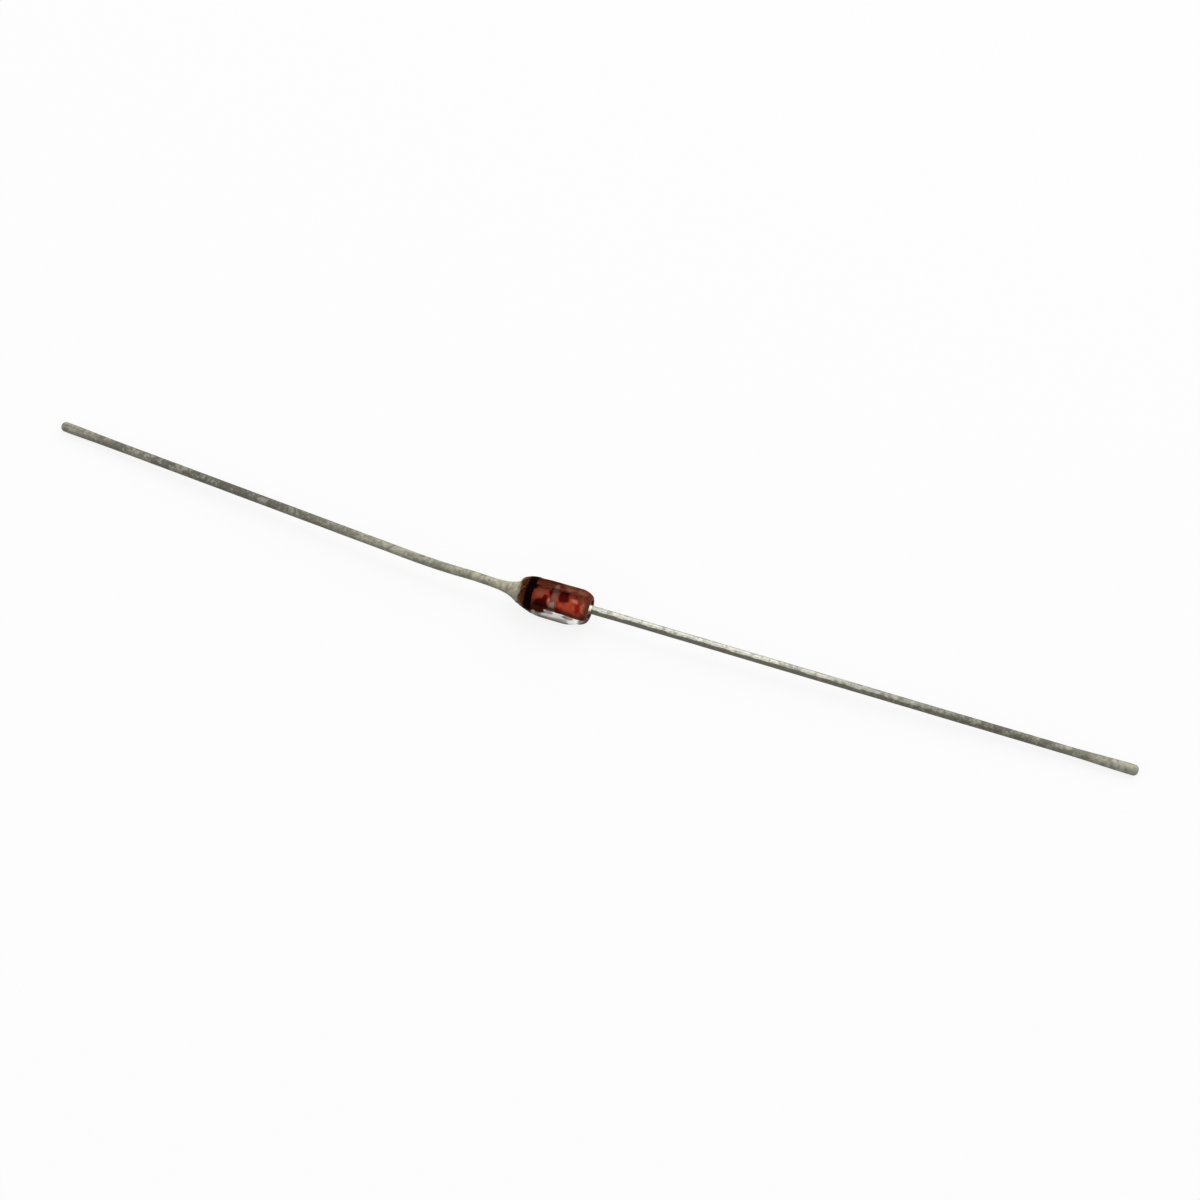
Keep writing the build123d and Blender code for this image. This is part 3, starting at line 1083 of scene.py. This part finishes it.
def burnt_weld_material(leads):
    """Burnt weld metal behind the glass, nearly black with orange flecks."""
    material, graph = new_material("burnt_weld")
    fleck = graph.noise(graph.millimetres(), 9.0, detail=4.0, roughness=0.7)
    colour = graph.blend(graph.rise(fleck, 0.54, 0.66), leads.weld_oxide, leads.fleck)
    graph.surface(base_color=colour, metallic=0.2, roughness=0.5 + 0.2 * fleck)
    return material


def bright_weld_material(leads):
    """Weld metal at the foot of the anode wire, near white as a painted highlight, browned on its lower
    front and on its upper back.
    """
    material, graph = new_material("bright_weld")
    place_mm, _, across = graph.places(CORE)
    grain = graph.noise(place_mm, 12.0, detail=4.0)
    wander = (grain - 0.5) * 0.2
    brown = graph.most(graph.rise(across + wander, 0.00, 0.12), graph.rise(wander - across, 0.14, 0.24))
    # Painted highlight: the weld is coloured lighter than the tin
    colour = graph.blend(graph.rise(grain, 0.25, 0.50), leads.pale_tin, scaled(leads.bright_tin, 1.15))
    graph.surface(
        base_color=graph.blend(brown, colour, leads.weld_brown),
        metallic=0.8,
        roughness=0.3 + 0.2 * grain,
        normal=graph.bump(grain, 0.006 * MM),
    )
    return material


class ZENER_OT_leads(bpy.types.Operator):
    """Make the two tinned leads and their welds"""

    bl_idname = "zener.make_leads"
    bl_label = "Leads"

    def execute(self, context):
        leads = context.scene.zener_leads
        tree = wire_tree()
        cathode = {
            "Wire Radius": leads.wire_diameter / 2 + leads.cathode_coat,
            "Bend Radius": leads.cathode_bend_radius,
            "Flare Radius": leads.flare_diameter / 2,
            "Flare Lap": leads.flare_lap,
            "Flare Sag": leads.flare_sag,
            "Seed": 3.0,
            "Material": weathered_tin_material(leads),
        }
        ends = (leads.flare_lap - GLASS_END, -GLASS_END - leads.lead_length)
        corner = -GLASS_END - leads.cathode_bend_distance
        wire = self.make_wire("cathode_wire", tree, leads, ends, corner, leads.cathode_tip_swing, cathode)
        dress(wire, None, "cathode_lead")
        anode = {
            "Wire Radius": leads.wire_diameter / 2 + leads.anode_coat,
            "Bend Radius": leads.anode_bend_radius,
            "Flare Radius": leads.wire_diameter / 2 + leads.anode_coat,
            "Flare Lap": 0.0,
            "Flare Sag": 0.0,
            "Seed": 8.0,
            "Material": shining_tin_material(leads),
        }
        ends = (SLUG_END, GLASS_END + leads.lead_length)
        corner = GLASS_END + leads.anode_bend_distance
        wire = self.make_wire("anode_wire", tree, leads, ends, corner, leads.anode_tip_swing, anode)
        dress(wire, None, "anode_lead")
        self.make_plug(leads)
        self.make_weld(leads)
        return {"FINISHED"}

    def make_wire(self, name, tree, leads, ends, corner, swing, inputs):
        """A wire that runs straight out of the glass to its bend, and down to its tip on the floor."""
        start, tip = ends
        route = (
            (start, CORE.y, CORE.z),
            (corner, CORE.y, CORE.z),
            (tip, swing, FLOOR_LEVEL + leads.tip_diameter / 2),
        )
        shared = {
            "Tip Radius": leads.tip_diameter / 2,
            "Tip Rounding": leads.tip_rounding,
            "Dipped Length": leads.tinned_end,
            "Flare Length": leads.flare_length,
            "Lump Depth": leads.lump_depth,
            "Rings": leads.rings,
            "Sides": leads.sides,
        }
        return run_wire(name, tree, route, {**shared, **inputs})

    def make_plug(self, leads):
        """The plug of weld metal in the cathode mouth."""
        radius = BORE_RADIUS + leads.weld_seal
        start, end = (-SLUG_END, radius), (leads.flare_lap * 0.5 - GLASS_END, radius)
        profile = [(start[0], 0.0), start, *straight_points(start, end, PLUG_STEPS), end, (end[0], 0.0)]
        piece = revolved("cathode_weld_plug", profile, WELD_SIDES, CORE)
        dress(piece, burnt_weld_material(leads), "cathode_lead")

    def make_weld(self, leads):
        """The cone of weld metal at the foot of the anode wire."""
        foot, wire_radius = leads.weld_diameter / 2, leads.wire_diameter / 2
        end = SLUG_END + leads.weld_length
        controls = (
            (SLUG_END, foot),
            (SLUG_END + leads.weld_length / 3, foot),
            (SLUG_END + leads.weld_length / 2, wire_radius),
            (end, wire_radius - leads.lump_depth),
        )
        profile = [(SLUG_END, 0.0), *bezier_points(controls, WELD_STEPS), (end, 0.0)]
        piece = revolved("anode_weld", profile, WELD_SIDES, CORE)
        dress(piece, bright_weld_material(leads), "anode_lead")


# Lamps: name, place in metres, side in metres and power in watts
LAMPS = (
    ("key_softbox", (0.10, 0.26, 0.32), 0.45, 0.9),
    ("fill_softbox", (-0.28, -0.22, 0.26), 0.40, 0.45),
)
WHITE = (1.0, 1.0, 1.0, 1.0)
SENSOR_WIDTH = 36.0


def floor_material(stage):
    """Pale floor that shows as white, and keeps the soft shadow of the part."""
    material, graph = new_material("white_floor")
    shaded = graph.add("ShaderNodeBsdfDiffuse", None, {"Color": opaque(stage.floor_colour)})["BSDF"]
    white = graph.add("ShaderNodeEmission", None, {"Color": WHITE, "Strength": 1.0})["Emission"]
    graph.mixed_surface(graph.looked_at() * stage.shadow_lift, shaded, white)
    return material


def white_world(stage):
    """Soft even light from all round, white where it is seen, mirrored or looked at through glass."""
    world = bpy.data.worlds.new("white_room")
    world.use_nodes = True
    graph = Graph(world.node_tree)
    soft, white = [
        graph.add("ShaderNodeBackground", None, {"Color": WHITE, "Strength": level})["Background"]
        for level in (stage.sky_level, 1.0)
    ]
    graph.mixed_surface(graph.looked_at(), soft, white, "ShaderNodeOutputWorld")
    return world


class ZENER_OT_stage(bpy.types.Operator):
    """Make the floor, the lamps, the white room and the camera"""

    bl_idname = "zener.make_stage"
    bl_label = "Stage"

    def execute(self, context):
        scene = context.scene
        stage = scene.zener_stage
        scene.view_settings.view_transform = "Standard"
        half = stage.floor_side / 2
        sheet = bmesh.new()
        corners = [(-half, -half), (half, -half), (half, half), (-half, half)]
        sheet.faces.new([sheet.verts.new((x, y, FLOOR_LEVEL)) for x, y in corners])
        data = bpy.data.meshes.new("floor")
        sheet.to_mesh(data)
        sheet.free()
        data.materials.append(floor_material(stage))
        floor = linked("floor", data)
        floor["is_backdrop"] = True
        scene.world = white_world(stage)
        for name, place, side, power in LAMPS:
            light = bpy.data.lights.new(name, "AREA")
            light.size = side
            light.energy = power
            lamp = linked(name, light)
            lamp.location = place
            lamp.rotation_euler = (-Vector(place)).to_track_quat("-Z", "Y").to_euler()
        scene.camera = self.make_camera(stage)
        return {"FINISHED"}

    def make_camera(self, stage):
        """A camera that looks down on the part, as far off as its perspective says."""
        azimuth, level = stage.azimuth, math.cos(stage.elevation)
        back = Vector((math.sin(azimuth) * level, -math.cos(azimuth) * level, math.sin(stage.elevation)))
        data = bpy.data.cameras.new("camera")
        data.sensor_width = SENSOR_WIDTH
        data.lens = stage.focal_length
        data.clip_start = stage.distance / 100
        data.clip_end = stage.floor_side * 2
        camera = linked("camera", data)
        camera.location = Vector((stage.look_x, stage.look_y, stage.look_z)) + back * stage.distance
        camera.rotation_euler = (-back).to_track_quat("-Z", "Y").to_euler()
        return camera


OPERATORS = (
    ZENER_OT_stage,
    ZENER_OT_glass,
    ZENER_OT_slugs,
    ZENER_OT_chip,
    ZENER_OT_band,
    ZENER_OT_leads,
)


class ZENER_PT_parts(bpy.types.Panel):
    """Sizes, colours and pieces of the diode"""

    bl_idname = "ZENER_PT_parts"
    bl_label = "Zener Diode"
    bl_space_type = "VIEW_3D"
    bl_region_type = "UI"
    bl_category = "Zener Diode"

    def draw(self, context):
        for operator in OPERATORS:
            self.layout.operator(operator.bl_idname)
        for name, group in GROUPS.items():
            box = self.layout.box()
            for setting in group.__annotations__:
                box.prop(getattr(context.scene, name), setting)


def register():
    for name, group in GROUPS.items():
        bpy.utils.register_class(group)
        setattr(bpy.types.Scene, name, PointerProperty(type=group))
    for operator in OPERATORS:
        bpy.utils.register_class(operator)
    bpy.utils.register_class(ZENER_PT_parts)


def unregister():
    bpy.utils.unregister_class(ZENER_PT_parts)
    for operator in reversed(OPERATORS):
        bpy.utils.unregister_class(operator)
    for name, group in reversed(GROUPS.items()):
        delattr(bpy.types.Scene, name)
        bpy.utils.unregister_class(group)


def main():
    register()
    bpy.ops.zener.make_stage()
    bpy.ops.zener.make_glass()
    bpy.ops.zener.make_slugs()
    bpy.ops.zener.make_chip()
    bpy.ops.zener.make_band()
    bpy.ops.zener.make_leads()
    boxes = {"cad": cad_box, "visual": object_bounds()}
    {name: [list(corner) for corner in box] for name, box in boxes.items()}


if __name__ == "__main__":
    main()
